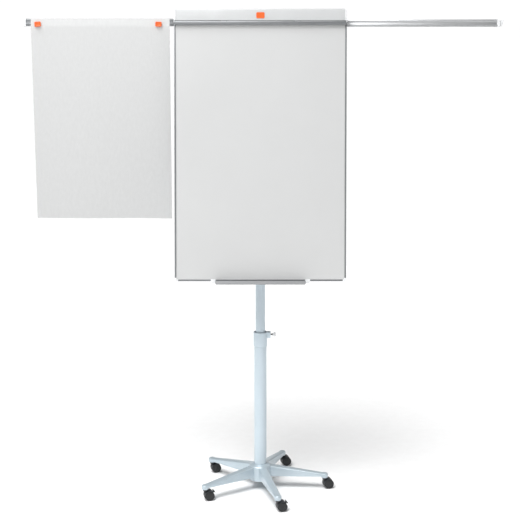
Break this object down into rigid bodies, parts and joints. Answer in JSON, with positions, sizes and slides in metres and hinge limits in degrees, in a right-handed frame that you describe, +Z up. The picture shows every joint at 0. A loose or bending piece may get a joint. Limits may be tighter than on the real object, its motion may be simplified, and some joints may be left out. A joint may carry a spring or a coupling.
{
  "type": "flipchart easel",
  "caption": "Mobile flipchart easel: leaning whiteboard with a pad clamp, pen tray and pull-out display arms on a telescopic post with a castor base.",
  "frame": {"origin": "on the post's axis at floor level, below the middle of the star base", "axes": "+Z up, the writing surface faces -Y, +X to the right as seen from the front"},
  "size_m": [1.9795, 0.5704, 2.0241],
  "materials": {
    "base_coat": "semi-gloss pale blue-grey powder coat on die-cast aluminium",
    "post_coat": "satin pale blue-grey powder coat",
    "black_plastic": "moulded, fine grain",
    "zinc_steel": "bright zinc plate",
    "spring_steel": "drawn wire",
    "dark_steel": "oxidised thread",
    "pale_plastic": "moulded, slightly translucent",
    "castor_plastic": "moulded nylon",
    "wheel_rubber": "smooth polyurethane tread",
    "brake_plastic": "moulded nylon",
    "bracket_coat": "satin powder coat",
    "white_enamel": "smooth satin enamel",
    "core_board": "pressed wood fibre",
    "galvanised": "galvanised sheet",
    "anodised": "natural satin anodised extrusion",
    "grey_anodised": "darker satin anodised extrusion",
    "header_coat": "satin white powder coat on an aluminium extrusion",
    "tray_coat": "satin grey",
    "orange_plastic": "bright moulded plastic",
    "paper": "matt uncoated"
  },
  "bodies": {
    "base": {"star_base": "base_coat", "lower_post": "post_coat", "post_foot_plug": "black_plastic", "base_bolt": "zinc_steel", "post_collar": "post_coat", "collar_bush": "black_plastic", "clamp_nut": "zinc_steel", "castor_stems": "zinc_steel"},
    "clamp_screw": {"clamp_screw": "dark_steel", "wing_knob": "pale_plastic"},
    "mast": {"upper_post": "post_coat", "post_guide_plug": "black_plastic", "post_top_cap": "black_plastic", "board_bracket": "bracket_coat", "bracket_bolts": "zinc_steel", "bracket_screws": "zinc_steel", "lower_cross_rail": "bracket_coat", "upper_cross_rail": "bracket_coat", "writing_sheet": "white_enamel", "core_panel": "core_board", "backing_sheet": "galvanised", "left_trim": "grey_anodised", "right_trim": "grey_anodised", "lower_trim": "grey_anodised", "corner_caps": "pale_plastic", "top_rail": "anodised", "header_cover": "header_coat", "left_header_end": "pale_plastic", "right_header_end": "pale_plastic", "badge": "orange_plastic", "hinge_rod": "zinc_steel", "clamp_springs": "spring_steel", "pen_tray": "tray_coat", "tray_clips": "pale_plastic", "front_arm_rail": "anodised", "rear_arm_rail": "anodised", "rail_hangers": "black_plastic", "hanger_screws": "zinc_steel"},
    "pad_clamp": {"clamp_bar": "grey_anodised"},
    "left_peg": {"left_pad_peg": "black_plastic"},
    "right_peg": {"right_pad_peg": "black_plastic"},
    "left_arm": {"left_arm": "grey_anodised", "left_arm_grip": "pale_plastic", "paper_sheet": "paper"},
    "right_arm": {"right_arm": "anodised", "right_arm_grip": "pale_plastic"},
    "left_magnet": {"left_magnet": "orange_plastic"},
    "right_magnet": {"right_magnet": "orange_plastic"},
    "right_castor": {"right_castor_housing": "castor_plastic"},
    "right_wheels": {"right_castor_wheels": "wheel_rubber"},
    "front_castor": {"front_castor_housing": "castor_plastic"},
    "front_wheels": {"front_castor_wheels": "wheel_rubber"},
    "front_brake": {"front_castor_brake": "brake_plastic"},
    "left_front_castor": {"left_front_castor_housing": "castor_plastic"},
    "left_front_wheels": {"left_front_castor_wheels": "wheel_rubber"},
    "left_front_brake": {"left_front_castor_brake": "brake_plastic"},
    "left_rear_castor": {"left_rear_castor_housing": "castor_plastic"},
    "left_rear_wheels": {"left_rear_castor_wheels": "wheel_rubber"},
    "right_rear_castor": {"right_rear_castor_housing": "castor_plastic"},
    "right_rear_wheels": {"right_rear_castor_wheels": "wheel_rubber"}
  },
  "joints": [
    {"name": "mast_lift", "type": "slide", "parent": "base", "child": "mast", "axis": [0, 0, 1], "range_m": [-0.2, 0.1]},
    {"name": "clamp_screw_turn", "type": "hinge", "parent": "base", "child": "clamp_screw", "pos_m": [0.05, 0, 0.6788], "axis": [1, 0, 0], "range_deg": [0, 360]},
    {"name": "right_castor_swivel", "type": "hinge", "parent": "base", "child": "right_castor", "pos_m": [0.27562, -0.01444, 0.05], "axis": [0, 0, 1], "continuous": true},
    {"name": "right_wheel_roll", "type": "hinge", "parent": "right_castor", "child": "right_wheels", "pos_m": [0.2928, -0.01016, 0.02], "axis": [-0.2419, 0.9703, 0], "continuous": true},
    {"name": "front_castor_swivel", "type": "hinge", "parent": "base", "child": "front_castor", "pos_m": [0.07143, -0.2666, 0.05], "axis": [0, 0, 1], "continuous": true},
    {"name": "front_wheel_roll", "type": "hinge", "parent": "front_castor", "child": "front_wheels", "pos_m": [0.08861, -0.26231, 0.02], "axis": [-0.2419, 0.9703, 0], "continuous": true},
    {"name": "front_brake_press", "type": "hinge", "parent": "front_castor", "child": "front_brake", "pos_m": [0.09978, -0.25953, 0.03037], "axis": [-0.2419, 0.9703, 0], "range_deg": [0, 18]},
    {"name": "left_front_castor_swivel", "type": "hinge", "parent": "base", "child": "left_front_castor", "pos_m": [-0.23147, -0.15032, 0.05], "axis": [0, 0, 1], "continuous": true},
    {"name": "left_front_wheel_roll", "type": "hinge", "parent": "left_front_castor", "child": "left_front_wheels", "pos_m": [-0.2143, -0.14604, 0.02], "axis": [-0.2419, 0.9703, 0], "continuous": true},
    {"name": "left_front_brake_press", "type": "hinge", "parent": "left_front_castor", "child": "left_front_brake", "pos_m": [-0.20312, -0.14325, 0.03037], "axis": [-0.2419, 0.9703, 0], "range_deg": [0, 18]},
    {"name": "left_rear_castor_swivel", "type": "hinge", "parent": "base", "child": "left_rear_castor", "pos_m": [-0.21449, 0.17369, 0.05], "axis": [0, 0, 1], "continuous": true},
    {"name": "left_rear_wheel_roll", "type": "hinge", "parent": "left_rear_castor", "child": "left_rear_wheels", "pos_m": [-0.19732, 0.17797, 0.02], "axis": [-0.2419, 0.9703, 0], "continuous": true},
    {"name": "right_rear_castor_swivel", "type": "hinge", "parent": "base", "child": "right_rear_castor", "pos_m": [0.09891, 0.25767, 0.05], "axis": [0, 0, 1], "continuous": true},
    {"name": "right_rear_wheel_roll", "type": "hinge", "parent": "right_rear_castor", "child": "right_rear_wheels", "pos_m": [0.11608, 0.26195, 0.02], "axis": [-0.2419, 0.9703, 0], "continuous": true},
    {"name": "pad_clamp_hinge", "type": "hinge", "parent": "mast", "child": "pad_clamp", "pos_m": [0, 0.04818, 1.9714], "axis": [-1, 0, 0], "range_deg": [0, 55], "stiffness_Nm_per_rad": 1, "springref_deg": -28.65},
    {"name": "left_peg_slide", "type": "slide", "parent": "mast", "child": "left_peg", "axis": [1, 0, 0], "range_m": [-0.05, 0.05]},
    {"name": "right_peg_slide", "type": "slide", "parent": "mast", "child": "right_peg", "axis": [1, 0, 0], "range_m": [-0.05, 0.05]},
    {"name": "left_arm_slide", "type": "slide", "parent": "mast", "child": "left_arm", "axis": [1, 0, 0], "range_m": [0, 0.6]},
    {"name": "right_arm_slide", "type": "slide", "parent": "mast", "child": "right_arm", "axis": [-1, 0, 0], "range_m": [0, 0.6]},
    {"name": "left_magnet_pull", "type": "slide", "parent": "left_arm", "child": "left_magnet", "axis": [0, 0.9877, -0.1564], "range_m": [-0.03, 0]},
    {"name": "right_magnet_pull", "type": "slide", "parent": "left_arm", "child": "right_magnet", "axis": [0, 0.9877, -0.1564], "range_m": [-0.03, 0]}
  ]
}
